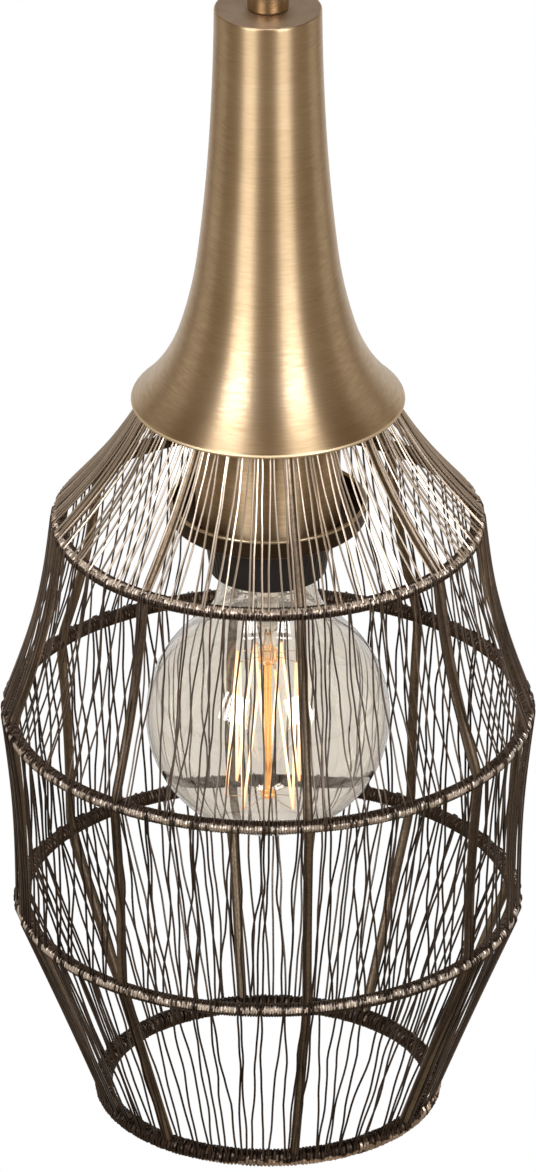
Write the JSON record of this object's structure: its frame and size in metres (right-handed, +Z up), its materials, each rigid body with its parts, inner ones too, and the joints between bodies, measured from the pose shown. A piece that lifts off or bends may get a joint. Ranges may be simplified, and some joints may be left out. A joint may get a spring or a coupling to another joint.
{
  "type": "pendant lamp",
  "caption": "Pendant lamp: slender trumpet-shaped brass cap over a barrel-shaped open cage of laced wire on bent rods, with a clear globe filament bulb in a covered lampholder.",
  "frame": {"origin": "centre of the cord's entry, at the top face of the cord grip", "axes": "+Z up along the lamp's axis, out of the cord entry; -Y faces the viewer of the picture; +X to the viewer's right"},
  "size_m": [0.208, 0.208, 0.4842],
  "materials": {
    "brushed_brass": "spun and brushed round the axis, lacquered, semi-bright",
    "turned_brass": "plain turned or pressed brass",
    "bronze_wire": "antique bronze plating, worn bright on the high spots",
    "dark_bronze": "dark bronze, satin",
    "zinc_steel": "zinc plated, dull",
    "black_moulding": "moulded thermoset, semi-gloss black",
    "porcelain": "glazed porcelain, white",
    "cap_brass": "rolled thread, bright",
    "black_glass": "black glass, glossy",
    "solder": "solder, dull silver",
    "clear_glass": "clear glass, faintly smoked",
    "filament_wire": "fine filament and support wire"
  },
  "bodies": {
    "lamp": {"cord_grip_body": "turned_brass", "threaded_tube": "zinc_steel", "trumpet_cap": "brushed_brass", "neck_washer": "zinc_steel", "neck_lock_nut": "zinc_steel", "cage_lock_nut": "zinc_steel", "cage_washer": "zinc_steel", "earth_tag": "turned_brass", "cage_spider": "dark_bronze", "collar_ring": "bronze_wire", "shoulder_ring": "bronze_wire", "belly_ring": "bronze_wire", "hip_ring": "bronze_wire", "mouth_ring": "bronze_wire", "cage_rods": "bronze_wire", "lacing_tier_1": "bronze_wire", "lacing_tier_2": "bronze_wire", "lacing_tier_3": "bronze_wire", "lacing_tier_4": "bronze_wire", "cover_cup": "brushed_brass", "shallow_dish": "dark_bronze", "holder_cap": "black_moulding", "holder_barrel": "black_moulding", "holder_core": "porcelain", "holder_terminals": "turned_brass", "terminal_screws": "zinc_steel", "screw_shell": "turned_brass", "contact_spring": "zinc_steel"},
    "bulb": {"bulb_cap": "cap_brass", "cap_insulator": "black_glass", "cap_tip": "solder", "bulb_glass": "clear_glass", "bulb_stem": "clear_glass", "filament": "filament_wire", "filament_hooks": "filament_wire", "lead_wires": "filament_wire"},
    "contact": {"contact_plunger": "turned_brass"},
    "skirt": {"holder_skirt": "black_moulding"},
    "grip_screw": {"cord_grip_screw": "zinc_steel"}
  },
  "joints": [
    {"name": "bulb_removal", "type": "slide", "parent": "lamp", "child": "bulb", "axis": [0, 0, -1], "range_m": [0, 0.265]},
    {"name": "contact_press", "type": "slide", "parent": "lamp", "child": "contact", "axis": [0, 0, 1], "range_m": [0, 0.0015], "stiffness_N_per_m": 150, "springref_m": -0.001, "deforming": ["contact_spring"]},
    {"name": "skirt_turn", "type": "hinge", "parent": "lamp", "child": "skirt", "pos_m": [0, 0, -0.2345], "axis": [0, 0, 1], "range_deg": [0, 1080]},
    {"name": "clamp_screw_travel", "type": "slide", "parent": "lamp", "child": "grip_screw", "axis": [0, -1, 0], "range_m": [0, 0.0015]}
  ]
}
